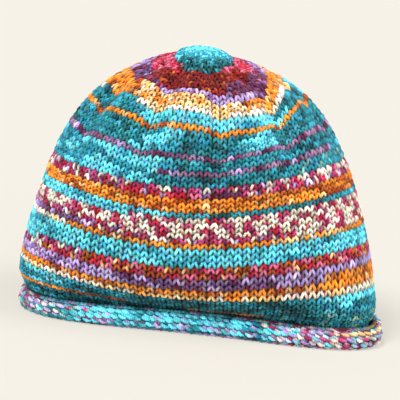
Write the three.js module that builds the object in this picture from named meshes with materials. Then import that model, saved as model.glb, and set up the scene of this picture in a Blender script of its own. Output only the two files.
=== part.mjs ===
// A baby's knitted hat, standing on its rolled brim: a soft domed crown, a brim that curls
// outwards and up, and a small gathered knob on top.
// Millimetres, +Z up. The origin is the middle of the brim's underside, and -Y is the front.
import * as THREE from "three";

// Driving dimensions of the knitted fabric
const WALL = 2.4;
const GAP = 0.3;

// The crown is knitted in wedges of equal width. Creases run up the lines between them, the first
// of these a share of the girth on from the hat's right side. The last four, from the hat's left
// over its front, fold deeper than the others.
const WEDGES = 10;
const FIRST_CREASE = -0.03;
const CREASE_FOLDS = [1, 1, 1, 1, 1, 1, 2, 2, 1.4, 2.6];
const FACETS_PER_WEDGE = 6;
const AROUND = FACETS_PER_WEDGE * WEDGES;

// Outside of the crown, from the roll line at the brim up to the flat patch under the knob.
// square is 2 for an oval section and more for one with a flatter front, and the back has a share
// of that. lean and forward move a section's middle to the left and to the front, nod lowers its
// front and lifts its back, crease sinks the lines between the wedges, and dent pushes in the
// middle of the front.
const SECTION_COLUMNS = [
  "height", "halfWidth", "halfDepth", "square", "lean", "forward", "nod", "crease", "dent",
];
const CROWN_SECTIONS = [
  [5.0, 72.6, 32.0, 3.6, -0.2, 0, 0, 0, 6.0],
  [8.8, 74.4, 32.4, 3.6, 1.3, 0, 0, 0, 6.0],
  [10.9, 76.0, 34.6, 3.3, 1.2, 0, 0, 0, 4.5],
  [15.9, 77.4, 39.4, 2.9, 2.1, 0, 0, 0, 2.5],
  [24.7, 76.4, 43.0, 2.6, 2.8, 0, 0, 0, 1.0],
  [36.7, 74.0, 45.4, 2.4, 3.4, 0, 0, 0, 0],
  [50.7, 70.1, 46.8, 2.3, 4.1, 0, 0, 0, 0],
  [64.7, 65.6, 47.2, 2.2, 4.9, 0, 0, 0.2, 0],
  [77.7, 60.2, 46.8, 2.1, 5.6, 0, 0, 0.9, 0],
  [89.4, 53.2, 44.6, 2.0, 5.9, 0.4, 0, 1.3, 0],
  [98.0, 45.8, 40.4, 2.0, 6.2, 1.0, 0.2, 1.3, 0],
  [104.2, 38.2, 34.8, 2.0, 6.2, 2.0, 0.8, 1.2, 0],
  [108.6, 29.8, 27.8, 2.0, 6.6, 3.2, 1.6, 1.1, 0],
  [111.0, 22.4, 21.4, 2.0, 7.6, 4.2, 2.2, 0.9, 0],
  [112.3, 17.0, 16.6, 2.0, 8.8, 5.2, 2.4, 0.6, 0],
  [113.1, 12.8, 12.7, 2.0, 9.8, 6.0, 2.2, 0, 0],
].map((row) => Object.fromEntries(row.map((value, k) => [SECTION_COLUMNS[k], value])));
const BACK_SQUARE_SHARE = 0.4;
const RINGS_PER_SECTION = 2;

// The brim's curl at four bearings, seen from above: roll is the outer radius of the curl, and
// turn is how far the fabric goes on past level. Its own weight flattens it where it stands.
const BRIM_CURLS = [
  { side: "right", roll: 4.4, turn: 84 },
  { side: "back", roll: 4.3, turn: 98 },
  { side: "left", roll: 4.0, turn: 74 },
  { side: "front", roll: 4.5, turn: 102 },
];
const BRIM_FLATTENED = 0.5;
const BRIM_TOP = CROWN_SECTIONS[0].height - GAP;
const OUTER_STEPS = 15;
const INNER_STEPS = 8;

// The knob's outline from its underside over to its tip, with a gather on each line between the
// wedges. full is the share of the gathers' depth there.
const KNOB_OUTLINE = [
  { rise: 0.0, radius: 12.6, full: 0.5 },
  { rise: 0.9, radius: 12.7, full: 0.9 },
  { rise: 2.0, radius: 11.8, full: 1 },
  { rise: 3.1, radius: 9.9, full: 0.9 },
  { rise: 4.0, radius: 7.2, full: 0.7 },
  { rise: 4.5, radius: 4.2, full: 0.4 },
];
const KNOB_TIP = 4.6;
const KNOB_GATHER_DEPTH = 1.5;
const KNOB_RINGS_PER_ROW = 1.6;

const radians = THREE.MathUtils.degToRad;

// A solid skinned over rings of points. A ring of one point is a pole, and loop joins the
// last ring to the first.
function skin(rings, loop = false) {
  const points = rings.flat();
  const starts = [];
  let count = 0;
  for (const ring of rings) {
    starts.push(count);
    count += ring.length;
  }
  const triangles = [];
  const pairs = loop ? rings.length : rings.length - 1;
  for (let i = 0; i < pairs; i++) {
    const next = (i + 1) % rings.length;
    const sides = Math.max(rings[i].length, rings[next].length);
    const corner = (ring, k) => starts[ring] + (k % rings[ring].length);
    for (let k = 0; k < sides; k++) {
      const [a, b] = [corner(i, k), corner(i, k + 1)];
      const [c, d] = [corner(next, k + 1), corner(next, k)];
      if (a !== b) triangles.push(a, b, c);
      if (c !== d) triangles.push(a, c, d);
    }
  }
  const geometry = new THREE.BufferGeometry().setFromPoints(points);
  geometry.setIndex(triangles);
  geometry.computeVertexNormals();
  return geometry;
}

// A smooth curve through rows of three values.
const smooth = (rows) =>
  new THREE.CatmullRomCurve3(rows.map((row) => new THREE.Vector3(...row)), false, "catmullrom");

// Columns of the sections' table, read by one number from 0 to 1 up the sections.
const throughSections = (columns) => smooth(CROWN_SECTIONS.map(columns));
const crownSizes = throughSections((s) => [s.halfWidth, s.halfDepth, s.height]);
const crownShifts = throughSections((s) => [-s.lean, -s.forward, s.nod]);
const crownForms = throughSections((s) => [s.square, s.dent, s.crease]);

// A section's outline about its own middle, without creases, read from the hat's right side
// by the back, the left and the front.
class SectionOutline extends THREE.Curve {
  constructor(up) {
    super();
    this.size = crownSizes.getPoint(up);
    this.form = crownForms.getPoint(up);
    this.nod = crownShifts.getPoint(up).z;
    this.arcLengthDivisions = 720;
  }

  getPoint(share) {
    const angle = 2 * Math.PI * share;
    const extra = (this.form.x - 2) * (Math.sin(angle) > 0 ? BACK_SQUARE_SHARE : 1);
    const bow = (value) => Math.sign(value) * Math.abs(value) ** (2 / (2 + extra));
    const [across, back] = [bow(Math.cos(angle)), bow(Math.sin(angle))];
    const push = back < 0 ? this.form.y * (1 - across ** 2) ** 2 : 0;
    return new THREE.Vector3(this.size.x * across, this.size.y * back + push, this.nod * back);
  }
}

// How near a corner is to a crease: 1 on the line between two wedges, 0 in a wedge's middle.
function creaseShare(facet) {
  const share = 0.5 + 0.5 * Math.cos((2 * Math.PI * facet) / FACETS_PER_WEDGE);
  return share * share;
}

// The fold of the nearest crease.
const creaseFold = (facet) => CREASE_FOLDS[Math.round(facet / FACETS_PER_WEDGE) % WEDGES];

// A share of the girth on from the hat's right side, for each corner round the hat.
const placeRound = (facet) => (1 + FIRST_CREASE + facet / AROUND) % 1;
const FACETS = Array.from({ length: AROUND }, (_, facet) => facet);

// The crown's outside without creases at a place up the sections, with corners at equal lengths
// of fabric.
function crownRing(up) {
  const outline = new SectionOutline(up);
  const shift = crownShifts.getPoint(up);
  const middle = new THREE.Vector3(shift.x, shift.y, outline.size.z);
  return FACETS.map((facet) => outline.getPointAt(placeRound(facet)).add(middle));
}

// The way along a ring at one of its corners.
const alongRing = (ring, k) =>
  ring[(k + 1) % ring.length].clone().sub(ring[(k + ring.length - 1) % ring.length]);

// The ways straight out of a wall at the corners of its rings.
function waysOut(rings) {
  return rings.map((ring, i) => {
    const above = rings[Math.min(i + 1, rings.length - 1)];
    const below = rings[Math.max(i - 1, 0)];
    return ring.map((_, k) => {
      const upwards = above[k].clone().sub(below[k]);
      return alongRing(ring, k).cross(upwards).normalize();
    });
  });
}

// The flat patch that carries the knob tips to the front.
const SEAT = CROWN_SECTIONS.at(-1);
const seatTip = Math.atan2(SEAT.nod, SEAT.halfDepth);
const seatNormal = new THREE.Vector3(0, -Math.sin(seatTip), Math.cos(seatTip));

// The crown is one open-bottomed wall, creased between its wedges. Its top closes in a flat patch
// that carries the knob.
function crownGeometry() {
  const steps = RINGS_PER_SECTION * (CROWN_SECTIONS.length - 1);
  const places = Array.from({ length: steps + 1 }, (_, i) => i / steps);
  const rings = places.map(crownRing);
  const out = waysOut(rings);
  const creases = places.map((up) => crownForms.getPoint(up).z);
  const sunk = (depth) =>
    rings.map((ring, i) =>
      ring.map((point, k) =>
        point
          .clone()
          .addScaledVector(out[i][k], -creases[i] * creaseFold(k) * creaseShare(k) - depth),
      ),
    );
  const [outside, inside] = [sunk(0), sunk(WALL)];
  inside[0].forEach((point, k) => point.setZ(outside[0][k].z));
  const top = new THREE.Vector3(-SEAT.lean, -SEAT.forward, SEAT.height);
  const under = top.clone().addScaledVector(seatNormal, -WALL);
  return skin([[under], ...inside.reverse(), ...outside, [top]]);
}

// The curl at a place round the hat, eased between the four bearings of the table.
function curlAt(place) {
  const quarter = place * BRIM_CURLS.length;
  const from = Math.floor(quarter);
  const ease = 0.5 - 0.5 * Math.cos((quarter - from) * Math.PI);
  const [a, b] = [from, from + 1].map((k) => BRIM_CURLS[k % BRIM_CURLS.length]);
  return {
    roll: THREE.MathUtils.lerp(a.roll, b.roll, ease),
    turn: THREE.MathUtils.lerp(a.turn, b.turn, ease),
  };
}

// The brim's cut at one bearing, as points (out from the crown's outside, height): the fabric
// comes down from the crown, curls outwards under itself and ends near its own top.
function brimCut({ roll, turn }) {
  const inner = roll - WALL;
  const middle = { out: inner, height: roll - BRIM_FLATTENED };
  const [start, end] = [Math.PI, 2 * Math.PI + radians(turn)];
  const arc = (radius, steps) =>
    Array.from({ length: steps + 1 }, (_, k) => {
      const angle = start + ((end - start) * k) / steps;
      const height = middle.height + radius * Math.sin(angle);
      return new THREE.Vector2(middle.out + radius * Math.cos(angle), Math.max(0, height));
    });
  const neck = [new THREE.Vector2(-WALL, BRIM_TOP), new THREE.Vector2(0, BRIM_TOP)];
  return [...neck, ...arc(inner, INNER_STEPS), ...arc(roll, OUTER_STEPS).reverse()];
}

// The brim follows the crown's lower edge all round.
function brimGeometry() {
  const edge = crownRing(0);
  const cuts = edge.map((point, k) => {
    const along = alongRing(edge, k);
    const out = new THREE.Vector3(along.y, -along.x, 0).normalize();
    return brimCut(curlAt(placeRound(k))).map((p) =>
      point.clone().setZ(p.y).addScaledVector(out, p.x),
    );
  });
  return skin(cuts, true);
}

// The knob is the gathered end of the knitting: a low puff with folds round it.
function knobGeometry() {
  const outline = smooth(KNOB_OUTLINE.map((row) => [row.radius, row.full, row.rise]));
  const steps = Math.round(KNOB_RINGS_PER_ROW * (KNOB_OUTLINE.length - 1));
  const rings = Array.from({ length: steps + 1 }, (_, i) => {
    const { x: radius, y: full, z: rise } = outline.getPoint(i / steps);
    return FACETS.map((facet) => {
      const angle = 2 * Math.PI * placeRound(facet);
      const reach = radius - KNOB_GATHER_DEPTH * full * creaseShare(facet);
      return new THREE.Vector3(reach * Math.cos(angle), reach * Math.sin(angle), rise);
    });
  });
  return skin([[new THREE.Vector3()], ...rings, [new THREE.Vector3(0, 0, KNOB_TIP)]]);
}

function knit(name, geometry, colour) {
  const material = new THREE.MeshStandardMaterial({ color: colour, roughness: 0.9, metalness: 0 });
  const mesh = new THREE.Mesh(geometry, material);
  mesh.name = name;
  return mesh;
}

const hat = new THREE.Group();
hat.add(knit("brim", brimGeometry(), 0x55b8cf));
hat.add(knit("crown", crownGeometry(), 0x2f9fb0));

const knob = knit("knob", knobGeometry(), 0x2bb3c6);
knob.position.set(-SEAT.lean, -SEAT.forward, SEAT.height).addScaledVector(seatNormal, GAP);
knob.rotation.x = seatTip;
hat.add(knob);

export default hat;
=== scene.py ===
import math

import bpy
import mathutils
import numpy as np
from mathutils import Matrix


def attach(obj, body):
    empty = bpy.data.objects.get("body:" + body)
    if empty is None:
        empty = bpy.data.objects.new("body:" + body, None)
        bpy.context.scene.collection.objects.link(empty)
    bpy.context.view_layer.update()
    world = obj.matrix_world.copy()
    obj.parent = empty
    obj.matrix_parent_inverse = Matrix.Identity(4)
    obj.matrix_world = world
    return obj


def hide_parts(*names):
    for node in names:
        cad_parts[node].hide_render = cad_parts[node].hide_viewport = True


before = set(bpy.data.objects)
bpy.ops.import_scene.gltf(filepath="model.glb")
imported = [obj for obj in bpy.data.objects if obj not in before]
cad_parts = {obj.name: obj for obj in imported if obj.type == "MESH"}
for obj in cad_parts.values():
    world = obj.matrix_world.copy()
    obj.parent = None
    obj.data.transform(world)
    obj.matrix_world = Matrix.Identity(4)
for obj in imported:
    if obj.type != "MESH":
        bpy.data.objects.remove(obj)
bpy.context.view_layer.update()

bpy.ops.object.select_all(action="DESELECT")

# Crown. The soft domed wall of the hat, knitted in the round in self-striping sock yarn with the
# smooth side out, and narrowed in ten wedges to the gathered top. It is laid here as the yarn runs,
# one round of loops after another, over a thin ground that stands for the fibres behind the loops.
MM = 0.001
FABRIC_THICKNESS = 2.4
WEDGES = 10
FIRST_CREASE = 0.02
CREASE_FOLDS = np.array((1, 1, 1, 2, 2, 1.4, 2.6, 1, 1, 1))
BACK_SQUARE_SHARE = 0.4

# The wall's outside in millimetres. square is 2 for an oval section and more for one with a flatter
# front, of which the back has a share; lean and forward move a section's middle to the left and the
# front; nod lowers its front; crease sinks the lines between the wedges; dent pushes in the front.
# Columns: height, half width, half depth, square, lean, forward, nod, crease, dent.
CROWN_SECTIONS = np.array([
    (5.0, 72.6, 32.0, 3.6, -0.2, 0.0, 0.0, 0.0, 6.0),
    (8.8, 74.4, 32.4, 3.6, 1.3, 0.0, 0.0, 0.0, 6.0),
    (10.9, 76.0, 34.6, 3.3, 1.2, 0.0, 0.0, 0.0, 4.5),
    (15.9, 77.4, 39.4, 2.9, 2.1, 0.0, 0.0, 0.0, 2.5),
    (24.7, 76.4, 43.0, 2.6, 2.8, 0.0, 0.0, 0.0, 1.0),
    (36.7, 74.0, 45.4, 2.4, 3.4, 0.0, 0.0, 0.0, 0.0),
    (50.7, 70.1, 46.8, 2.3, 4.1, 0.0, 0.0, 0.0, 0.0),
    (64.7, 65.6, 47.2, 2.2, 4.9, 0.0, 0.0, 0.3, 0.0),
    (77.7, 60.2, 46.8, 2.1, 5.6, 0.0, 0.0, 1.2, 0.0),
    (89.4, 53.2, 44.6, 2.0, 5.9, 0.4, 0.0, 1.6, 0.0),
    (98.0, 45.8, 40.4, 2.0, 6.2, 1.0, 0.2, 1.5, 0.0),
    (104.2, 38.2, 34.8, 2.0, 6.2, 2.0, 0.8, 1.2, 0.0),
    (108.6, 29.8, 27.8, 2.0, 6.6, 3.2, 1.6, 1.1, 0.0),
    (111.0, 22.4, 21.4, 2.0, 7.6, 4.2, 2.2, 0.9, 0.0),
    (112.3, 17.0, 16.6, 2.0, 8.8, 5.2, 2.4, 0.6, 0.0),
    (113.1, 12.8, 12.7, 2.0, 9.8, 6.0, 2.2, 0.0, 0.0),
])


def through_rows(table, up):
    """A smooth curve through a table's rows, read by their numbers."""
    padded = np.pad(table, ((1, 1), (0, 0)), mode="reflect", reflect_type="odd")
    row = np.clip(np.floor(up).astype(int), 0, len(table) - 2)
    t = (up - row)[..., None]
    a, b, c, d = (padded[row + k] for k in range(4))
    curve = (2 * a - 5 * b + 4 * c - d) * t**2 + (3 * b - a - 3 * c + d) * t**3
    return 0.5 * (2 * b + (c - a) * t + curve)


def fabric_normals(grid):
    """The way that the smooth side faces, at each point of a grid of fabric."""
    round_way = np.roll(grid, -1, 1) - np.roll(grid, 1, 1)
    up_way = np.gradient(grid, axis=0)
    normal = np.cross(round_way, up_way)
    return normal / np.linalg.norm(normal, axis=-1, keepdims=True)


# The wall on an even grid: levels up the sections, and places round the hat by the length of
# fabric from the middle of the back, by the hat's left in the picture to the front and right.
LEVELS = 301
PLACES = 880
OUTLINE_POINTS = 1441
level_up = np.linspace(0, len(CROWN_SECTIONS) - 1, LEVELS)
place_round = np.arange(PLACES) / PLACES
angle = math.pi / 2 + np.linspace(0, 2 * math.pi, OUTLINE_POINTS)
wall = np.empty((LEVELS, PLACES, 3))
girth = np.empty(LEVELS)
crease_depth = np.empty(LEVELS)
for k, section in enumerate(through_rows(CROWN_SECTIONS, level_up)):
    height, half_width, half_depth, square, lean, forward, nod, crease_depth[k], dent = section
    bow = 2 / (2 + (square - 2) * np.where(np.sin(angle) > 0, BACK_SQUARE_SHARE, 1))
    across = np.sign(np.cos(angle)) * np.abs(np.cos(angle)) ** bow
    back = np.sign(np.sin(angle)) * np.abs(np.sin(angle)) ** bow
    push = np.where(back < 0, dent * (1 - across**2) ** 2, 0)
    outline = np.stack((half_width * across, half_depth * back + push, nod * back), -1)
    run = np.append(0, np.cumsum(np.linalg.norm(np.diff(outline, axis=0), axis=1)))
    girth[k] = run[-1]
    even = [np.interp(place_round * run[-1], run, outline[:, axis]) for axis in range(3)]
    wall[k] = np.stack((even[0] - lean, even[1] - forward, even[2] + height), -1)
front_step = np.linalg.norm(np.diff(wall[:, PLACES // 2], axis=0), axis=1)
front_run = np.append(0, np.cumsum(front_step))
wedge_place = WEDGES * (place_round - FIRST_CREASE)
crease_share = (0.5 + 0.5 * np.cos(wedge_place * 2 * math.pi)) ** 2
fold = CREASE_FOLDS[np.rint(wedge_place).astype(int) % WEDGES]
wall -= fabric_normals(wall) * (crease_depth[:, None] * fold * crease_share)[..., None]

# Rounds of knitting, counted up from the roll line, with the length of fabric up to them at the front,
# how much further up they lie at the hat's left and right, and the place where the rise to the right
# begins. The lifts are whole at LEFT_PLACE and RIGHT_PLACE, and the left one ends at LOW_PLACE. The
# lowest rounds tuck in behind the brim, and the creases pull the highest down in notches.
# Columns: rounds, run up the front, left lift, right lift, start of the right rise.
ROUND_LINES = np.array([
    (0, 0.0, 0.0, 0.0, 0.46),
    (4, 8.0, 4.5, 6.0, 0.46),
    (8, 16.0, 6.8, 11.5, 0.46),
    (12, 27.5, 5.0, 14.5, 0.46),
    (17, 42.0, 3.5, 12.0, 0.46),
    (24, 57.3, 4.0, 12.5, 0.46),
    (27, 63.3, 2.5, 12.5, 0.46),
    (32, 74.7, 3.2, 14.0, 0.46),
    (35, 82.0, 4.0, 14.5, 0.49),
    (40, 94.4, 2.5, 13.0, 0.545),
    (42, 99.9, 1.0, 13.0, 0.555),
    (45, 106.4, 2.5, 13.0, 0.54),
    (47, 111.0, 5.0, 11.0, 0.49),
    (54, front_run[-1], 0.0, 0.0, 0.46),
])
ROUNDS = 54
LEFT_PLACE = 0.30
LOW_PLACE = 0.46
RIGHT_PLACE = 0.71
CREASE_PULL = 1.3
CREASE_SHARPNESS = 3
ROUND_STEP = 0.25
round_line = np.arange(0, ROUNDS + ROUND_STEP, ROUND_STEP)
run_up, left_lift, right_lift, rise_start = (
    np.interp(round_line, ROUND_LINES[:, 0], ROUND_LINES[:, k])[:, None] for k in (1, 2, 3, 4))
from_left = (place_round - LEFT_PLACE) % 1
back_turn = LEFT_PLACE + 1 - RIGHT_PLACE
back_share = np.clip((from_left - 1) / back_turn + 1, 0, 1)
left_share = np.maximum(1 - from_left / (LOW_PLACE - LEFT_PLACE), back_share)
rise_share = (from_left - rise_start + LEFT_PLACE) / (RIGHT_PLACE - rise_start)
right_share = np.minimum(np.clip(rise_share, 0, 1), 1 - back_share)
left_share, right_share = (
    np.clip(share, 0, 1) ** 2 * (3 - 2 * np.clip(share, 0, 1)) for share in (left_share, right_share))
pulled = CREASE_PULL * np.interp(run_up, front_run, crease_depth) * crease_share**CREASE_SHARPNESS
round_run = run_up + left_lift * left_share + right_lift * right_share - pulled
round_up = np.interp(round_run, front_run, level_up)


def at_levels(grid, up):
    """Points of the wall, read at levels that change from place to place."""
    place = up / level_up[1]
    low = np.clip(np.floor(place).astype(int), 0, LEVELS - 2)
    share = (place - low)[..., None]
    column = np.arange(PLACES)
    return grid[low, column] * (1 - share) + grid[low + 1, column] * share


crown_face = at_levels(wall, round_up)
crown_girth = np.interp(run_up[:, 0], front_run, girth)

# The same fabric goes on below the roll line: straight down, then round the brim's curl, with the
# smooth side inwards. The curl is given at the back, the left, the front and the right of the hat, and
# CURL_TURN is in degrees past its outermost line. What the hat stands on presses it flat below.
CURL_RADIUS = (4.3, 4.0, 4.5, 4.4)
CURL_TURN = (98, 74, 102, 84)
CURL_FLATTENED = 0.5
BRIM_ROUNDS = 8


def round_the_hat(values):
    """Values at even places round the hat, eased from each to the next."""
    values = np.array(values, float)
    quarter = np.arange(PLACES) / PLACES * len(values)
    start = np.floor(quarter).astype(int)
    ease = 0.5 - 0.5 * np.cos((quarter - start) * np.pi)
    return values[start] * (1 - ease) + values[(start + 1) % len(values)] * ease


brim_line = np.arange(-BRIM_ROUNDS, 0, ROUND_STEP)
curl = round_the_hat(CURL_RADIUS)
edge_way = np.roll(wall[0], -1, 0) - np.roll(wall[0], 1, 0)
outward = np.stack((edge_way[:, 1], -edge_way[:, 0]), -1)
outward /= np.linalg.norm(outward, axis=-1, keepdims=True)
middle_radius = curl - FABRIC_THICKNESS / 2
curl_height = curl - CURL_FLATTENED
straight = wall[0, :, 2] - curl_height
whole = straight + middle_radius * (math.pi + np.radians(round_the_hat(CURL_TURN)))
gone = -brim_line[:, None] / BRIM_ROUNDS * whole
curl_angle = math.pi + np.maximum(0, gone - straight) / middle_radius
out = curl - FABRIC_THICKNESS + middle_radius * np.cos(curl_angle)
height = curl_height + middle_radius * np.sin(curl_angle) + np.maximum(0, straight - gone)
brim_plan = wall[0, :, :2] + outward * out[..., None]
brim_middle = np.concatenate((brim_plan, height[..., None]), -1)

# At the top it goes on into the knob, a low puff with a gather on each line between the wedges. The
# knob tips to the front with the top of the crown.
# Columns: rise, radius, share of the gathers' depth.
KNOB_OUTLINE = np.array([
    (0.0, 12.6, 0.5),
    (0.9, 12.7, 0.9),
    (2.0, 11.8, 1.0),
    (3.1, 9.9, 0.9),
    (4.0, 7.2, 0.7),
    (4.5, 4.2, 0.4),
    (4.6, 1.0, 0.1),
])
KNOB_GATHER_DEPTH = 1.5
KNOB_ROUNDS = 7
KNOB_LEVELS = 81
outline = through_rows(KNOB_OUTLINE, np.linspace(0, len(KNOB_OUTLINE) - 1, KNOB_LEVELS))
outline_run = np.append(0, np.cumsum(np.linalg.norm(np.diff(outline[:, :2], axis=0), axis=1)))
knob_run = np.arange(0, KNOB_ROUNDS + ROUND_STEP, ROUND_STEP) / KNOB_ROUNDS * outline_run[-1]
rise, radius, full = (np.interp(knob_run, outline_run, outline[:, k])[:, None] for k in range(3))
reach = radius - KNOB_GATHER_DEPTH * full * crease_share
knob_angle = math.pi / 2 + place_round * 2 * math.pi
knob_back = reach * np.sin(knob_angle)
seat_height, _, seat_depth, _, seat_lean, seat_forward, seat_nod, _, _ = CROWN_SECTIONS[-1]
seat_tip = math.atan2(seat_nod, seat_depth)
knob_face = np.stack((
    reach * np.cos(knob_angle) - seat_lean,
    knob_back * math.cos(seat_tip) - rise * math.sin(seat_tip) - seat_forward,
    knob_back * math.sin(seat_tip) + rise * math.cos(seat_tip) + seat_height,
), -1)
hat_face = np.concatenate((crown_face[:-1], knob_face))
hat_middle = hat_face - fabric_normals(hat_face) * FABRIC_THICKNESS / 2


def lattice(points, first_line, step):
    """A reader for a grid of fabric: its middle, and the way its smooth side faces, at places round it
    and at lines up it, one to a round of knitting."""
    normals = fabric_normals(points)
    lines, places = points.shape[:2]

    def read(place, line):
        column = (place % 1) * places
        left = np.floor(column).astype(int)
        side = (column - left)[..., None]
        row = np.clip((line - first_line) / step, 0, lines - 1)
        low = np.minimum(np.floor(row).astype(int), lines - 2)
        rise = (row - low)[..., None]
        corners = ((low, left, (1 - rise) * (1 - side)), (low, left + 1, (1 - rise) * side),
                   (low + 1, left, rise * (1 - side)), (low + 1, left + 1, rise * side))
        point = sum(points[r, c % places] * share for r, c, share in corners)
        normal = sum(normals[r, c % places] * share for r, c, share in corners)
        return point, normal / np.linalg.norm(normal, axis=-1, keepdims=True)

    return read


hat_fabric = lattice(np.concatenate((brim_middle, hat_middle)), -BRIM_ROUNDS, ROUND_STEP)

# The yarn's dye. A blend is a few shades that follow each other within some stitches, by their shares.
SHADES = {
    "aqua": (0.37, 0.86, 0.95),
    "turquoise": (0.14, 0.56, 0.66),
    "teal": (0.10, 0.49, 0.55),
    "deep_teal": (0.06, 0.28, 0.31),
    "sage": (0.45, 0.66, 0.60),
    "garnet": (0.45, 0.03, 0.03),
    "crimson": (0.69, 0.07, 0.17),
    "raspberry": (0.68, 0.16, 0.38),
    "rose": (0.84, 0.36, 0.50),
    "plum": (0.36, 0.13, 0.27),
    "dusk": (0.50, 0.38, 0.52),
    "lilac": (0.70, 0.60, 0.84),
    "purple": (0.46, 0.31, 0.53),
    "orange": (0.95, 0.53, 0.13),
    "peach": (0.96, 0.74, 0.46),
    "rust": (0.64, 0.25, 0.06),
    "cream": (0.94, 0.88, 0.81),
}
BLENDS = {
    "aqua": (7, {"aqua": 8, "turquoise": 2}),
    "turquoise": (8, {"turquoise": 6, "teal": 2, "aqua": 3}),
    "teal": (7, {"teal": 6, "turquoise": 3, "deep_teal": 2}),
    "sea": (5, {"teal": 5, "turquoise": 4, "sage": 2}),
    "deep": (5, {"deep_teal": 6, "teal": 4}),
    "shadow": (5, {"deep_teal": 5, "dusk": 2, "plum": 1}),
    "garnet": (5, {"garnet": 9, "rust": 1}),
    "rose": (4, {"crimson": 5, "rose": 4, "garnet": 2}),
    "brick": (4, {"crimson": 4, "rust": 4, "rose": 3, "peach": 1}),
    "berry": (4, {"crimson": 6, "garnet": 3, "rose": 3, "lilac": 1}),
    "lilac": (4, {"lilac": 7, "purple": 2}),
    "purple": (4, {"purple": 5, "plum": 3, "lilac": 3}),
    "plum": (4, {"plum": 7, "purple": 2, "garnet": 2}),
    "violet": (5, {"dusk": 6, "plum": 3, "lilac": 1}),
    "dusky": (4, {"lilac": 4, "dusk": 4, "turquoise": 3}),
    "orange": (7, {"orange": 7, "rust": 2, "peach": 1}),
    "rust": (6, {"rust": 6, "orange": 5}),
    "peach": (6, {"peach": 7, "orange": 2, "cream": 1}),
    "cream": (6, {"cream": 8, "peach": 2}),
    "flecks": (2.8, {"cream": 7, "raspberry": 2, "crimson": 2, "rose": 1}),
    "dark_flecks": (2.8, {"raspberry": 4, "plum": 2, "crimson": 2, "cream": 3, "lilac": 1}),
    "pale": (4, {"cream": 3, "lilac": 4, "aqua": 4, "dusk": 2}),
    "confetti": (3, {"cream": 3, "raspberry": 4, "lilac": 3, "aqua": 3}),
    "mixed": (3, {"cream": 2, "raspberry": 4, "lilac": 3, "plum": 2, "aqua": 2, "peach": 1}),
    "shallow": (4, {"aqua": 6, "turquoise": 3, "lilac": 2}),
}
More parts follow.
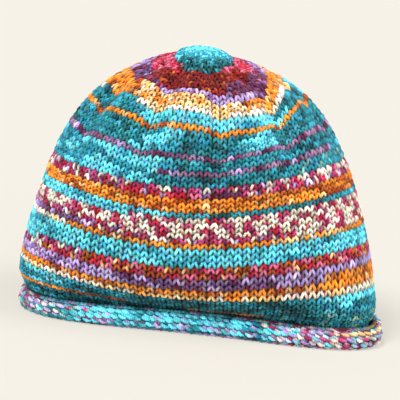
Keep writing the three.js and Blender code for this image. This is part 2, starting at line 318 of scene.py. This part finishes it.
# Rounds of knitting from the tip of the knob down: how many are alike, and their blends in the order
# of the knitting, from the middle of the back by the left to the front, with the share of each.
DYE_ROUNDS = (
    (4, ((0.3, "aqua"), (0.4, "turquoise"), (0.3, "aqua"))),
    (1, ((0.3, "turquoise"), (0.36, "teal"), (0.34, "turquoise"))),
    (2, ((0.3, "turquoise"), (0.36, "deep"), (0.34, "turquoise"))),
    (1, ((0.34, "rose"), (0.24, "deep"), (0.42, "rose"))),
    (2, ((0.34, "rose"), (0.28, "garnet"), (0.38, "rose"))),
    (2, ((0.28, "rose"), (0.34, "garnet"), (0.38, "berry"))),
    (2, ((0.31, "purple"), (0.19, "garnet"), (0.22, "plum"), (0.28, "purple"))),
    (1, ((0.26, "lilac"), (0.08, "plum"), (0.16, "lilac"), (0.20, "plum"), (0.30, "lilac"))),
    (1, ((0.34, "orange"), (0.12, "peach"), (0.07, "lilac"), (0.13, "plum"), (0.34, "orange"))),
    (1, ((0.36, "orange"), (0.16, "peach"), (0.48, "orange"))),
    (1, ((0.36, "orange"), (0.18, "peach"), (0.18, "orange"), (0.28, "peach"))),
    (1, ((0.24, "cream"), (0.09, "teal"), (0.40, "cream"), (0.27, "aqua"))),
    (2, ((0.22, "aqua"), (0.14, "teal"), (0.23, "aqua"), (0.11, "teal"), (0.30, "aqua"))),
    (1, ((1.0, "orange"),)),
    (1, ((0.38, "teal"), (0.05, "aqua"), (0.06, "teal"), (0.07, "aqua"), (0.44, "teal"))),
    (2, ((0.38, "teal"), (0.05, "aqua"), (0.06, "teal"), (0.05, "aqua"), (0.46, "teal"))),
    (1, ((0.38, "teal"), (0.05, "turquoise"), (0.06, "teal"), (0.05, "aqua"), (0.46, "teal"))),
    (1, ((1.0, "violet"),)),
    (2, ((0.32, "turquoise"), (0.08, "aqua"), (0.14, "teal"), (0.46, "teal"))),
    (1, ((0.39, "turquoise"), (0.30, "violet"), (0.31, "turquoise"))),
    (2, ((0.30, "turquoise"), (0.11, "aqua"), (0.17, "teal"), (0.42, "sea"))),
    (1, ((0.36, "dark_flecks"), (0.22, "dark_flecks"), (0.42, "flecks"))),
    (1, ((0.34, "dark_flecks"), (0.10, "berry"), (0.10, "plum"), (0.46, "dark_flecks"))),
    (1, ((0.38, "orange"), (0.22, "rust"), (0.40, "rust"))),
    (2, ((0.60, "orange"), (0.40, "rust"))),
    (1, ((0.42, "aqua"), (0.20, "teal"), (0.38, "turquoise"))),
    (1, ((0.36, "aqua"), (0.64, "flecks"))),
    (2, ((1.0, "flecks"),)),
    (1, ((0.36, "dark_flecks"), (0.64, "flecks"))),
    (1, ((0.34, "purple"), (0.24, "dark_flecks"), (0.42, "flecks"))),
    (1, ((0.31, "cream"), (0.23, "orange"), (0.10, "peach"), (0.36, "orange"))),
    (3, ((1.0, "aqua"),)),
    (1, ((0.27, "aqua"), (0.06, "dark_flecks"), (0.67, "brick"))),
    (1, ((0.28, "dark_flecks"), (0.72, "brick"))),
    (1, ((0.38, "lilac"), (0.16, "purple"), (0.46, "lilac"))),
    (1, ((0.37, "lilac"), (0.19, "purple"), (0.03, "lilac"), (0.41, "orange"))),
    (1, ((1.0, "orange"),)),
    (1, ((0.38, "cream"), (0.20, "peach"), (0.42, "cream"))),
    (1, ((0.36, "turquoise"), (0.22, "teal"), (0.42, "aqua"))),
    (2, ((0.34, "turquoise"), (0.24, "deep"), (0.42, "turquoise"))),
    (1, ((0.30, "orange"), (0.08, "rust"), (0.22, "deep"), (0.40, "sea"))),
    (1, ((0.30, "teal"), (0.28, "deep"), (0.42, "sea"))),
    (1, ((0.30, "teal"), (0.16, "deep"), (0.08, "rust"), (0.46, "sea"))),
    (2, ((0.30, "teal"), (0.28, "deep"), (0.42, "sea"))),
    (2, ((1.0, "turquoise"),)),
    (1, ((0.60, "shadow"), (0.10, "mixed"), (0.30, "shadow"))),
    (1, ((0.24, "shadow"), (0.32, "teal"), (0.12, "mixed"), (0.32, "teal"))),
    (1, ((0.24, "sea"), (0.08, "confetti"), (0.22, "dusky"), (0.16, "mixed"), (0.30, "aqua"))),
    (1, ((0.28, "sea"), (0.26, "shallow"), (0.08, "pale"), (0.08, "mixed"), (0.30, "aqua"))),
    (1, ((0.22, "aqua"), (0.10, "confetti"), (0.24, "aqua"), (0.14, "confetti"), (0.30, "shallow"))),
    (1, ((0.34, "confetti"), (0.19, "aqua"), (0.08, "confetti"), (0.11, "peach"), (0.28, "pale"))),
    (3, ((0.30, "confetti"), (0.20, "shallow"), (0.14, "confetti"), (0.06, "peach"), (0.30, "pale"))),
)

# The dye runs along the yarn from the tip of the knob down, and each round begins a little past the
# middle of the back. Lengths of a blend end some stitches early or late, shades vary in length and
# strength, and the yarn is flecked, FLECKS to a stitch, in depth and hue. A few flecks are pale.
STITCHES = 110
LAST_DOWN = KNOB_ROUNDS + ROUNDS - 1
ROUND_START = 0.04
DYE_STEPS = 8
DYE_EDGE = 3.0
LENGTH_WANDER = 2.0
SHADE_LENGTHS = (0.6, 1.4)
SHADE_STRENGTHS = (0.85, 1.15)
SHORTEST_SHADE = 1e-6
FLECKS = 3
FLECK_DEPTH = 0.3
FLECK_HUE = 0.09
PALE_MOST = 0.6
PALE_RARITY = 3
SEED = 7
dice = np.random.default_rng(SEED)


def linear(colour):
    """A colour as screens give it (sRGB), turned into the share of light that a shader takes."""
    colour = np.array(colour)
    return np.where(colour > 0.04045, ((colour + 0.055) / 1.055) ** 2.4, colour / 12.92)


def dye_the_yarn():
    """The yarn's colour at even steps along it, DYE_STEPS to a stitch."""
    ends = [0.0]
    colours = []
    end_of_length = 0
    for count, lengths in DYE_ROUNDS:
        for share, blend in lengths * count:
            stitches, shares = BLENDS[blend]
            whole = sum(shares.values())
            end_of_length += share * STITCHES
            dyed_until = end_of_length + dice.normal(0, LENGTH_WANDER)
            while ends[-1] < dyed_until:
                for name in dice.permutation(list(shares)):
                    part = stitches * shares[name] / whole * dice.uniform(*SHADE_LENGTHS)
                    ends.append(min(max(dyed_until, ends[-1]), ends[-1] + part))
                    colours.append(linear(SHADES[name]) * dice.uniform(*SHADE_STRENGTHS))
    ends = np.array(ends)
    colours = np.array(colours)
    middle = (ends[1:] + ends[:-1]) / 2
    step = np.arange(0, ends[-1], 1 / DYE_STEPS)
    before = np.clip(np.searchsorted(middle, step, "right") - 1, 0, len(middle) - 2)
    apart = np.maximum(middle[before + 1] - middle[before], SHORTEST_SHADE)
    past = np.clip((step - ends[before + 1]) / apart * DYE_EDGE + 0.5, 0, 1)[:, None]
    even = colours[before] * (1 - past) + colours[before + 1] * past
    fleck_count = int(ends[-1] * FLECKS) + 2
    fleck = dice.normal(0, FLECK_DEPTH, (fleck_count, 1)) + dice.normal(0, FLECK_HUE, (fleck_count, 3))
    uneven = [np.interp(step * FLECKS, np.arange(fleck_count), fleck[:, k]) for k in range(3)]
    pale = PALE_MOST * dice.uniform(0, 1, fleck_count) ** PALE_RARITY
    pale = np.interp(step * FLECKS, np.arange(fleck_count), pale)[:, None]
    even *= np.exp(np.stack(uneven, -1))
    return even * (1 - pale) + np.sqrt(even) * pale


yarn_colour = dye_the_yarn()


def dyed(line, place):
    """The yarn's colour at a place in the round of knitting on a line of the fabric."""
    along = np.maximum(LAST_DOWN - line, 0) + place - ROUND_START
    step = np.clip(along * STITCHES * DYE_STEPS, 0, len(yarn_colour) - 1)
    return yarn_colour[step.astype(int)]


# One stitch of plain knitting, in parts of a stitch across, of a round up and in millimetres out. Its
# legs lie on the smooth side, and its two bends lie behind them. STITCH_WANDER is how far stitches
# stray across, in their height and outwards.
STITCH_POINTS = 11
ROUND_MIDDLE = 0.5
YARN_SIDES = 6
LEG_LEAN = 0.25
LEGS_MEET = 0.01
LOOP_REACH = 0.74
LOOP_DEPTH = 0.62
YARN_HALF_WIDTH = 0.68
YARN_HALF_DEPTH = 0.62
STITCH_WANDER = (0.05, 0.08, 0.1)
stitch_turn = np.arange(STITCH_POINTS) / STITCH_POINTS * 2 * math.pi
stitch_across = stitch_turn / (2 * math.pi) + LEG_LEAN * np.sin(2 * stitch_turn)
stitch_across += LEGS_MEET * np.sin(stitch_turn)
stitch_up = LOOP_REACH * np.cos(stitch_turn)
stitch_out = -LOOP_DEPTH * np.cos(2 * stitch_turn)
yarn_around = np.arange(YARN_SIDES) / YARN_SIDES * 2 * math.pi


def tube_round(centre, normal, half_width, half_depth):
    """The corners of a yarn that closes on itself, YARN_SIDES to each point of its path."""
    along = np.roll(centre, -1, 0) - np.roll(centre, 1, 0)
    along /= np.linalg.norm(along, axis=1, keepdims=True)
    side = np.cross(along, normal)
    side /= np.linalg.norm(side, axis=1, keepdims=True)
    face = np.cross(side, along)
    width = half_width * np.cos(yarn_around)[None, :, None] * side[:, None]
    depth = half_depth * np.sin(yarn_around)[None, :, None] * face[:, None]
    return centre[:, None] + width + depth


# Painted shade: the yarn's colour is darkened where the yarn lies deep between its neighbours, on both
# sides of the fabric.
DEEP_PAINTED_SHADE = 0.2
DEEP_FROM = 0.3
DEEP_TO = 1.15


def with_painted_shade(colour, out, fullness=1.0):
    """The colour at each corner of a yarn, darkened with painted shade by how far that corner lies from
    the middle of the fabric.
    """
    depth = np.abs(out[:, None] / fullness + YARN_HALF_DEPTH * np.sin(yarn_around))
    light = DEEP_PAINTED_SHADE + (1 - DEEP_PAINTED_SHADE) * np.clip((depth - DEEP_FROM) / (DEEP_TO - DEEP_FROM), 0, 1)
    return colour[:, None] * light[..., None]


def knit_round(line, stitches, first_place=FIRST_CREASE, fullness=1.0, bump=0.0, widen=0.0, slant=0.0):
    """One round of stitches: the yarn's corners and their colours, which carry painted shade. fullness
    swells the yarn and its loops, bump brings one of each stitch's two bends further out on the wrong
    side, and widen and slant stretch and tip both."""
    astray, taller, raised = (dice.normal(0, wander, (stitches, 1)) for wander in STITCH_WANDER)
    bends = np.sin(2 * stitch_turn)
    across = np.arange(stitches)[:, None] + stitch_across + widen * bends + astray
    up = ROUND_MIDDLE + stitch_up * (1 + taller) + slant * bends
    out = (stitch_out * (1 + bump * np.cos(stitch_turn)) + raised) * fullness
    place = (first_place + across / stitches).ravel()
    point, normal = hat_fabric(place, line + up.ravel())
    centre = point + normal * out.reshape(-1, 1)
    corners = tube_round(centre, normal, YARN_HALF_WIDTH * fullness, YARN_HALF_DEPTH * fullness)
    return corners, with_painted_shade(dyed(line, place), out.ravel(), fullness)


def solid_mesh(name, places, faces, colours):
    """A piece of the hat from its corners in millimetres, its four-sided faces and its colours, which are
    the yarn's dyed colour with painted shade. What would reach below the surface that the hat stands on
    is pressed flat on it."""
    places = places * MM
    places[:, 2] = np.maximum(places[:, 2], 0)
    mesh = bpy.data.meshes.new(name)
    mesh.vertices.add(len(places))
    mesh.vertices.foreach_set("co", places.ravel())
    mesh.loops.add(faces.size)
    mesh.loops.foreach_set("vertex_index", faces.ravel())
    mesh.polygons.add(len(faces))
    mesh.polygons.foreach_set("loop_start", np.arange(len(faces)) * 4)
    mesh.update(calc_edges=True)
    mesh.shade_smooth()
    dye_and_painted_shade = mesh.color_attributes.new("dye_and_painted_shade", "FLOAT_COLOR", "POINT")
    dye_and_painted_shade.data.foreach_set("color", np.column_stack((colours, np.ones(len(colours)))).ravel())
    piece = bpy.data.objects.new(name, mesh)
    bpy.context.collection.objects.link(piece)
    return piece


TWIST_LENGTH = 2.2
STRIP_POINTS = 220
STRIP_SIDE_MARGIN = 0.04
STRIP_END_MARGIN = 0.002


def yarn_piece(name, rounds):
    """Rounds of yarn as one mesh, with a map of the yarn's turns and length for its plies, and
    another that lays it out flat in strips."""
    places = []
    faces = []
    colours = []
    twists = []
    strips = []
    start = 0
    strip_count = sum(math.ceil(len(corners) / STRIP_POINTS) for corners, _ in rounds)
    strip = 0
    for corners, colour in rounds:
        count = len(corners)
        point = np.repeat(np.arange(count), YARN_SIDES)
        side = np.tile(np.arange(YARN_SIDES), count)
        here = point * YARN_SIDES
        ahead = (point + 1) % count * YARN_SIDES
        beside = (side + 1) % YARN_SIDES
        faces.append(start + np.stack((here + side, here + beside, ahead + beside, ahead + side), -1))
        places.append(corners.reshape(-1, 3))
        colours.append(colour.reshape(-1, 3))
        centre = corners.mean(1)
        step = np.linalg.norm(np.roll(centre, -1, 0) - centre, axis=1)
        turns = np.append(0, np.cumsum(step)) / TWIST_LENGTH
        round_turn = np.stack((side, side + 1, side + 1, side), -1) / YARN_SIDES
        length_turn = np.stack((turns[point], turns[point], turns[point + 1], turns[point + 1]), -1)
        twists.append(np.stack((round_turn, length_turn), -1))
        in_strip = point % STRIP_POINTS
        along = np.stack((in_strip, in_strip, in_strip + 1, in_strip + 1), -1) / STRIP_POINTS
        along = STRIP_END_MARGIN + (1 - 2 * STRIP_END_MARGIN) * along
        across = STRIP_SIDE_MARGIN + (1 - 2 * STRIP_SIDE_MARGIN) * round_turn
        across = (strip + point[:, None] // STRIP_POINTS + across) / strip_count
        strips.append(np.stack((along, across), -1))
        start += count * YARN_SIDES
        strip += math.ceil(count / STRIP_POINTS)
    piece = solid_mesh(name, np.concatenate(places), np.concatenate(faces), np.concatenate(colours))
    for map_name, corners in (("OFBake", strips), ("plies", twists)):
        uv = piece.data.uv_layers.new(name=map_name)
        uv.data.foreach_set("uv", np.concatenate(corners).ravel())
    return piece


GROUND_FACE = 0.25
GROUND_DEPTH = 0.6
GROUND_PLACES = 220
# The ground's colour is the yarn's, darkened to this share: painted shade in the gaps between the loops.
GROUND_PAINTED_SHADE = 0.25


def ground_piece(name, first_line, last_line, step, dye_and_painted_shade=GROUND_PAINTED_SHADE):
    """A thin closed sheet just behind the middle of the fabric, from one line up to another, coloured
    like the yarn but darkened as painted shade between the loops.
    """
    lines = np.arange(first_line, last_line + step, step)
    place, line = np.meshgrid(np.arange(GROUND_PLACES) / GROUND_PLACES, lines)
    point, normal = hat_fabric(place, line)
    sheets = (point - normal * GROUND_FACE, point - normal * (GROUND_FACE + GROUND_DEPTH))
    loop = np.concatenate((sheets[0], sheets[1][::-1]))
    rows = len(loop)
    row, column = np.meshgrid(np.arange(rows), np.arange(GROUND_PLACES), indexing="ij")
    above = (row + 1) % rows * GROUND_PLACES
    beside = (column + 1) % GROUND_PLACES
    here = row * GROUND_PLACES
    faces = np.stack((here + column, here + beside, above + beside, above + column), -1)
    colour = dyed(line, place) * dye_and_painted_shade
    colours = np.concatenate((colour, colour[::-1])).reshape(-1, 3)
    return solid_mesh(name, loop.reshape(-1, 3), faces.reshape(-1, 4), colours)


def shader_group(name, outputs):
    """An empty node group that puts out values, with its output node."""
    group = bpy.data.node_groups.new(name, "ShaderNodeTree")
    for output in outputs:
        group.interface.new_socket(output, in_out="OUTPUT", socket_type="NodeSocketFloat")
    return group, group.nodes.new("NodeGroupOutput")


def math_node(group, operation, *values):
    """A Math node fed by sockets or by plain numbers."""
    node = group.nodes.new("ShaderNodeMath")
    node.operation = operation
    for socket, value in zip(node.inputs, values):
        if isinstance(value, bpy.types.NodeSocket):
            group.links.new(value, socket)
        else:
            socket.default_value = value
    return node.outputs[0]


# Plies wind round the yarn: their rounded height, and a tint that stays with each ply.
PLIES = 3
TINT_START = 0.5
twist, twist_out = shader_group("ply_twist", ("Height", "Tint"))
ply_map = twist.nodes.new("ShaderNodeUVMap")
ply_map.uv_map = "plies"
ply_parts = twist.nodes.new("ShaderNodeSeparateXYZ")
twist.links.new(ply_map.outputs["UV"], ply_parts.inputs[0])
winding = math_node(twist, "ADD", ply_parts.outputs["X"], ply_parts.outputs["Y"])
winding = math_node(twist, "MULTIPLY", winding, PLIES)
across_ply = math_node(twist, "MULTIPLY", math_node(twist, "FRACT", winding), math.pi)
twist.links.new(math_node(twist, "SINE", across_ply), twist_out.inputs["Height"])
ply_number = math_node(twist, "FLOORED_MODULO", math_node(twist, "FLOOR", winding), PLIES)
ply_shade = twist.nodes.new("ShaderNodeTexWhiteNoise")
ply_shade.noise_dimensions = "1D"
twist.links.new(math_node(twist, "ADD", ply_number, TINT_START), ply_shade.inputs["W"])
twist.links.new(ply_shade.outputs["Value"], twist_out.inputs["Tint"])

# Fibres take the dye unevenly: soft blotches a few millimetres wide, and fine ones under half of one.
BLOTCH_SCALE = 420
FIBRE_SCALE = 2600
fibres, fibres_out = shader_group("fibres", ("Blotch", "Fine"))
fibre_place = fibres.nodes.new("ShaderNodeTexCoord")
for output, scale, detail in (("Blotch", BLOTCH_SCALE, 2.0), ("Fine", FIBRE_SCALE, 1.0)):
    noise = fibres.nodes.new("ShaderNodeTexNoise")
    noise.inputs["Scale"].default_value = scale
    noise.inputs["Detail"].default_value = detail
    fibres.links.new(fibre_place.outputs["Object"], noise.inputs["Vector"])
    fibres.links.new(noise.outputs["Fac"], fibres_out.inputs[output])

# Painted shade darkens the yarn between the plies, each ply takes the dye a little differently, and the
# wool is mottled.
# Pairs: the least, and how much more there is at the most.
PLY_PAINTED_SHADE = (0.6, 0.5)
MARL = (0.8, 0.4)
MOTTLE = (0.55, 0.9)
WOOL_ROUGHNESS = (0.6, 0.3)
FIBRE_RELIEF = 0.4
RELIEF_DEPTH = 0.25 * MM
RELIEF_STRENGTH = 0.7


def between(group, value, least_and_more):
    """A value from 0 to 1, brought to run from the least up."""
    least, more = least_and_more
    return math_node(group, "MULTIPLY_ADD", value, more, least)


yarn = bpy.data.materials.new("sock_yarn")
yarn.use_nodes = True
tree = yarn.node_tree
shader = tree.nodes["Principled BSDF"]
shader.inputs["Sheen Weight"].default_value = 0.06
shader.inputs["Sheen Roughness"].default_value = 0.4
shader.inputs["Specular IOR Level"].default_value = 0.15
# The colour attribute holds the yarn's dyed colour with painted shade already in it.
dye_and_painted_shade_node = tree.nodes.new("ShaderNodeAttribute")
dye_and_painted_shade_node.attribute_name = "dye_and_painted_shade"
plies = tree.nodes.new("ShaderNodeGroup")
plies.node_tree = twist
wool = tree.nodes.new("ShaderNodeGroup")
wool.node_tree = fibres
ply_painted_shade = between(tree, plies.outputs["Height"], PLY_PAINTED_SHADE)
marl = between(tree, plies.outputs["Tint"], MARL)
mottle = between(tree, wool.outputs["Blotch"], MOTTLE)
# uneven is the painted shade between the plies times the random marl and mottle.
uneven = math_node(tree, "MULTIPLY", math_node(tree, "MULTIPLY", ply_painted_shade, marl), mottle)
tinted = tree.nodes.new("ShaderNodeVectorMath")
tinted.operation = "SCALE"
tree.links.new(dye_and_painted_shade_node.outputs["Color"], tinted.inputs[0])
tree.links.new(uneven, tinted.inputs["Scale"])
tree.links.new(tinted.outputs[0], shader.inputs["Base Color"])
tree.links.new(between(tree, wool.outputs["Fine"], WOOL_ROUGHNESS), shader.inputs["Roughness"])
relief = math_node(tree, "MULTIPLY_ADD", wool.outputs["Fine"], FIBRE_RELIEF, plies.outputs["Height"])
bump = tree.nodes.new("ShaderNodeBump")
bump.inputs["Strength"].default_value = RELIEF_STRENGTH
bump.inputs["Distance"].default_value = RELIEF_DEPTH
tree.links.new(relief, bump.inputs["Height"])
tree.links.new(bump.outputs["Normal"], shader.inputs["Normal"])


def dress(piece, node):
    """Gives a piece the yarn's finish, parents it to the root body, and hides the CAD part of the node
    that it stands for.
    """
    piece.data.materials.append(yarn)
    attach(piece, "root")
    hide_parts(node)


# Each wedge keeps its stitches up to NARROWS_FROM, and loses them above as the crown narrows.
CROWN_STITCH = 3.0
NARROWS_FROM = 34
TOP_STITCHES = 3
CROWN_BANDS = (
    ("crown_knit_low", 0, 13),
    ("crown_knit_middle", 13, 26),
    ("crown_knit_high", 26, 39),
    ("crown_knit_top", 39, ROUNDS),
)
CROWN_GROUND_STEP = 1
crown_rounds = np.arange(ROUNDS)
round_girth = np.interp(crown_rounds + ROUND_MIDDLE, round_line, crown_girth)
wedge_stitches = np.maximum(np.rint(round_girth / WEDGES / CROWN_STITCH), TOP_STITCHES)
wedge_stitches[:NARROWS_FROM] = STITCHES // WEDGES
wedge_stitches = np.minimum.accumulate(wedge_stitches).astype(int)
for name, first, last in CROWN_BANDS:
    rounds = [knit_round(k, wedge_stitches[k] * WEDGES) for k in range(first, last)]
    dress(yarn_piece(name, rounds), "crown")
dress(ground_piece("crown_ground", 0, ROUNDS, CROWN_GROUND_STEP), "crown")

# Brim. The lowest rounds of the same fabric, which curl outwards and up by themselves and so show the
# bumps of their wrong side. The yarn is cast off in a chain along the edge.
BRIM_FULLNESS = 1.25
BRIM_BUMP = 0.3
BRIM_SKEW = 0.4
BRIM_WIDEN = 0.09
BRIM_SLANT = 0.25
# The brim's ground is darkened further: painted shade in the gaps between the bumps.
BRIM_GROUND_PAINTED_SHADE = 0.14
BRIM_GROUND_STEP = 0.5
CHAIN_POINTS = 8
CHAIN_SWAY = 0.6
CHAIN_RISE = 0.3
CHAIN_RAISED = 0.7
CHAIN_LINE = -BRIM_ROUNDS - 0.1
brim_rounds = []
for k in range(1, BRIM_ROUNDS + 1):
    skewed = FIRST_CREASE + BRIM_SKEW * k / STITCHES
    brim_rounds.append(knit_round(-k, STITCHES, skewed, BRIM_FULLNESS, BRIM_BUMP, BRIM_WIDEN, BRIM_SLANT))
dress(yarn_piece("brim_knit", brim_rounds), "brim")
dress(ground_piece("brim_ground", -BRIM_ROUNDS, 0, BRIM_GROUND_STEP, BRIM_GROUND_PAINTED_SHADE), "brim")

chain_place = np.arange(STITCHES * CHAIN_POINTS) / (STITCHES * CHAIN_POINTS)
chain_middle, chain_normal = hat_fabric(chain_place, np.full(chain_place.shape, CHAIN_LINE))
chain_out = np.full(chain_place.shape, CHAIN_SWAY)
# The chain's colour is its dye darkened with painted shade, as the stitches' is.
chain_dye_and_painted_shade = with_painted_shade(dyed(-BRIM_ROUNDS - 1, chain_place), chain_out)
chain = []
for strand in (0, math.pi):
    sway = chain_place * STITCHES * 2 * math.pi + strand
    centre = chain_middle + chain_normal * (CHAIN_SWAY * np.sin(sway) - CHAIN_RAISED)[:, None]
    centre[:, 2] += CHAIN_RISE * np.cos(sway)
    chain.append((tube_round(centre, chain_normal, YARN_HALF_WIDTH, YARN_HALF_DEPTH), chain_dye_and_painted_shade))
dress(yarn_piece("brim_edge", chain), "brim")

# Knob. The gathered end of the knitting on top of the crown: the last stitches are drawn together, and
# the tube below them folds into a low puff that tips to the front.
KNOB_STITCHES = (30, 30, 30, 30, 20, 20, 10)
KNOB_FULLNESS = 0.95
KNOB_GROUND_STEP = 0.5
knob_rounds = []
for k, stitches in enumerate(KNOB_STITCHES):
    knob_rounds.append(knit_round(ROUNDS + k, stitches, fullness=KNOB_FULLNESS))
dress(yarn_piece("knob_knit", knob_rounds), "knob")
dress(ground_piece("knob_ground", ROUNDS, ROUNDS + KNOB_ROUNDS, KNOB_GROUND_STEP), "knob")

# Floor. A large sheet of pale, warm, matt paper that the hat stands on. It glows a little, as paper
# does in an evenly lit studio, which keeps the hat's shadow faint and soft.
FLOOR_SIZE = 12
PAPER = (0.26, 0.25, 0.227, 1)
PAPER_GLOW = (0.47, 0.445, 0.40, 1)
bpy.ops.mesh.primitive_plane_add(size=FLOOR_SIZE)
floor = bpy.context.object
floor.name = "floor"
pale_paper = bpy.data.materials.new("pale_paper")
pale_paper.use_nodes = True
paper = pale_paper.node_tree.nodes["Principled BSDF"].inputs
paper["Base Color"].default_value = PAPER
paper["Emission Color"].default_value = PAPER_GLOW
paper["Emission Strength"].default_value = 1.0
paper["Roughness"].default_value = 0.9
paper["Specular IOR Level"].default_value = 0.0
floor.data.materials.append(pale_paper)

# Light. Plain soft studio light: an evenly pale room, a broad key lamp high at the front left, a wider
# one from the right that lights the hat's edge, and a low, very wide one that fills the front.
# Columns of LAMPS: name, the way to the lamp, spread in degrees, strength.
ROOM_COLOUR = (1.0, 0.99, 0.97, 1)
ROOM_STRENGTH = 0.55
LAMPS = (
    ("key", (-0.55, -0.65, 1.1), 20, 3.2),
    ("rim", (0.8, -0.1, 0.9), 30, 1.4),
    ("front", (0.25, -1.0, 0.3), 50, 1.1),
)
world = bpy.data.worlds.new("room")
world.use_nodes = True
room = world.node_tree.nodes["Background"].inputs
room["Color"].default_value = ROOM_COLOUR
room["Strength"].default_value = ROOM_STRENGTH
bpy.context.scene.world = world
for name, toward, spread, strength in LAMPS:
    lamp = bpy.data.lights.new(name, "SUN")
    lamp.angle = math.radians(spread)
    lamp.energy = strength
    lamp_object = bpy.data.objects.new(name, lamp)
    bpy.context.collection.objects.link(lamp_object)
    lamp_object.location = toward
    lamp_object.rotation_euler = mathutils.Vector(toward).to_track_quat("Z", "Y").to_euler()
bpy.context.scene.view_settings.view_transform = "Standard"

# Camera. It looks at the front of the hat from a little above, and is rolled, because the hat is tilted
# in the picture and stands level here. ORIGIN_PIXEL is where the middle of the brim's underside shows.
ELEVATION = math.radians(11)
ROLL = math.radians(6.2)
DISTANCE = 0.9
PIXEL = 0.435 * MM
IMAGE_SIZE = 400
ORIGIN_PIXEL = (199, 317)
SENSOR = 36
camera = bpy.data.cameras.new("camera")
camera.sensor_width = SENSOR
camera.lens = SENSOR * DISTANCE / (IMAGE_SIZE * PIXEL)
camera_object = bpy.data.objects.new("camera", camera)
bpy.context.collection.objects.link(camera_object)
look = mathutils.Vector((0, math.cos(ELEVATION), -math.sin(ELEVATION)))
level_turn = look.to_track_quat("-Z", "Y").to_matrix()
camera_turn = level_turn @ mathutils.Matrix.Rotation(ROLL, 3, "Z")
right, up = camera_turn.col[0], camera_turn.col[1]
across = (IMAGE_SIZE / 2 - ORIGIN_PIXEL[0]) * PIXEL
above = (ORIGIN_PIXEL[1] - IMAGE_SIZE / 2) * PIXEL
place = mathutils.Matrix.Translation(right * across + up * above - look * DISTANCE)
camera_object.matrix_world = place @ camera_turn.to_4x4()
bpy.context.scene.camera = camera_object
